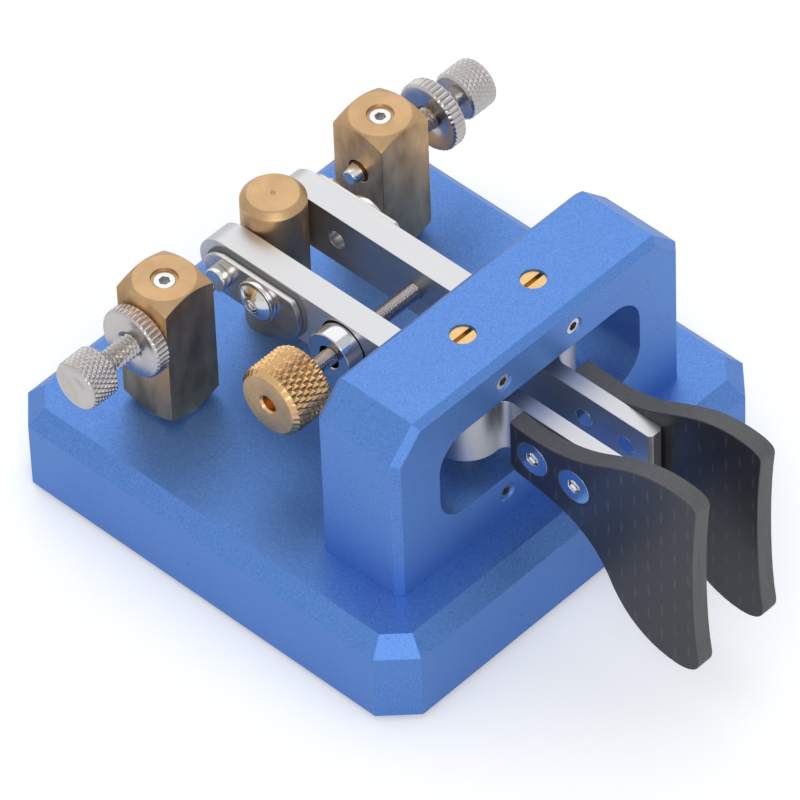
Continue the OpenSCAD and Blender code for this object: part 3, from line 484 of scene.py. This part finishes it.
# The tension rod is a plain length of threaded steel, fixed in the right lever.
# Its steel, with faint rings left by the tool, is that of the contact screws and nuts too.
rod_pitch, rod_thread_depth, rod_point, rod_lead = 0.45, 0.26, 0.4, 0.3
contact_axis = axis_of("left_contact_screw")
turned_steel = Paint("turned_steel", (0.74, 0.73, 0.72), 0.2, 1.0)
facing_rings = turned_steel.noise(1500, 2, turned_steel.place(scale=(3, 0.4, 0.4)))
turned_steel.set("Roughness", facing_rings * 0.16 + 0.16)
turned_steel.set("Base Color", turned_steel.blend(facing_rings, (0.54, 0.505, 0.485), (0.68, 0.64, 0.615)))
tool_rings = turned_steel.about(contact_axis, 0.16 * MM)
turned_steel.bump(facing_rings * 0.5 + tool_rings, 0.00001, 0.6)
rod_path = [(rod_start, rod_r - rod_point, 0), (rod_start + rod_lead, rod_r, 0.1)]
rod_path += spread(rod_start + rod_point, rod_end - rod_lead, rod_r, rod_thread_depth, 900)
rod_path += [(rod_end, rod_r - rod_point, 0)]
rod = turned("tension_rod_cut", rod_path, 64, die_cut(rod_pitch), knob_axis)
stand_in(rod, "right_lever_arm", "tension_rod")
dress(turned_steel, "steel", rod)

# Each contact screw has a plain nose, a threaded shank, a neck, and a head with a fine knurl
# and a shallow dish turned in its face.
head_len, neck_r, neck_len = 5.0, 1.4, 0.6
nose_r, nose_tip_r, nose_len, thread_lead = 1.45, 1.3, 0.65, 0.1
thread_r, thread_depth, thread_pitch, thread_start = 1.75, 0.4, 0.65, 0.9
under_head, head_bevel, head_bevel_r = 0.5, 0.3, 0.12
fine_knurl_depth, fine_knurl_in, fine_knurl_out = 0.28, 0.35, 0.45
rim_in, rim_drop, rim_turn, rim_turn_r, face_edge = 0.3, 0.1, 0.04, 0.36, 0.44
dish_out, dish_r, dish_depth = 2.6, 2.45, 0.05
centre_out, centre_r, centre_depth, centre_pip = 1.5, 1.4, 0.09, 0.5

# Each lock nut is a thin disc with a straight knurl, bevelled at both faces.
nut_bore_r, near_mouth_r, far_mouth_r = 1.8, 2.2, 2.3
near_mouth, far_mouth, near_rim, far_rim = 0.3, 0.4, 0.35, 0.4
flute_depth, flute_edge, flute_edge_depth = 0.34, 0.02, 0.2
far_bevel, far_bevel_r = 0.06, 0.3
for side in ("left", "right"):
    mirrored = side == "left"
    centre = axis_of(side + "_contact_screw")
    tip, end, head_r = span_outwards(side + "_contact_screw")
    head = end - head_len
    path = [(tip, nose_tip_r, 0), (tip, nose_r, 0), (tip + nose_len, nose_r, 0),
            (tip + nose_len + thread_lead, 1.6, 0.1)]
    path += spread(tip + thread_start, head - neck_len - thread_lead, thread_r, thread_depth, 320)
    path += [(head - neck_len, neck_r, 0), (head, neck_r, 0), (head, head_r - under_head, 0),
             (head + head_bevel, head_r - head_bevel_r, 0.08)]
    path += spread(head + fine_knurl_in, end - fine_knurl_out, head_r, fine_knurl_depth, 44)
    path += [(end - rim_in, head_r - rim_drop, 0.08), (end - rim_turn, head_r - rim_turn_r, 0),
             (end, head_r - face_edge, 0), (end, dish_out, 0), (end - dish_depth, dish_r, 0),
             (end - dish_depth, centre_out, 0), (end - centre_depth, centre_r, 0),
             (end - centre_depth, centre_pip, 0)]
    thread, knurl = die_cut(thread_pitch), diamonds(30, 1.25, 1.2)

    def on_screw(along, turn):
        return thread(along, turn) if along < head else knurl(along, turn)

    thumb = turned(side + "_thumbscrew_turned", path, 240, on_screw, centre, mirrored)
    stand_in(thumb, side + "_contact_thumbscrew", side + "_contact_screw")
    dress(turned_steel, "steel", thumb)

    near, far, nut_r = span_outwards(side + "_lock_nut")
    path = [(near + near_mouth, nut_bore_r, 0), (near, near_mouth_r, 0), (near, nut_r - near_rim, 0),
            (near + near_mouth, nut_r - flute_edge, flute_edge_depth),
            (near + near_mouth + flute_edge, nut_r, flute_depth),
            (far - far_bevel - far_bevel_r, nut_r, flute_depth),
            (far - far_bevel - far_bevel_r + flute_edge, nut_r - flute_edge, flute_edge_depth),
            (far - far_bevel, nut_r - far_bevel_r, 0), (far, nut_r - far_rim, 0), (far, far_mouth_r, 0),
            (far - far_mouth, nut_bore_r, 0), (near + near_mouth, nut_bore_r, 0)]
    nut = turned(side + "_lock_nut_turned", path, 320, flutes(40, 1.6), centre, mirrored)
    stand_in(nut, side + "_nut_turn", side + "_lock_nut")
    dress(turned_steel, "steel", nut)

# Two ring magnets, nickel plated: one in the left lever and one in the knob.
# They push each other away.
nickel = Paint("nickel_plate", (0.68, 0.68, 0.69), 0.08, 1.0)
nickel.set("Roughness", nickel.noise(900, 2) * 0.08 + 0.05)
for magnet, body in (("lever_magnet", "left_lever_arm"), ("knob_magnet", "knob_slide")):
    dress(nickel, "magnet", eased(magnet, body, 0.25, segments=3))

# Under the base: insulating bushes and washers, solder lugs, the jack socket and its two wires.
# These CAD nodes need no other mesh, so they only get their materials.
nylon = Paint("natural_nylon", (0.75, 0.72, 0.63), 0.45, Subsurface_Weight=0.1)
nylon.bump(nylon.noise(1200, 2), 0.00002, 0.3)
nylon.on("post_bushes", "post_washers")
tinned = Paint("tinned_brass", (0.75, 0.68, 0.5), 0.3, 1.0)
tinned.set("Roughness", tinned.noise(1200, 2) * 0.2 + 0.2)
tinned.on("solder_lugs", "jack_terminals")
moulded = Paint("black_moulding", (0.02, 0.02, 0.022), 0.42)
moulded.bump(moulded.noise(1600, 2), 0.00002, 0.3)
moulded.on("jack_body")
sleeve = Paint("wire_sleeve", (0.45, 0.03, 0.025), 0.35)
sleeve.bump(sleeve.noise(1200, 2), 0.00002, 0.2)
sleeve.on("wires")
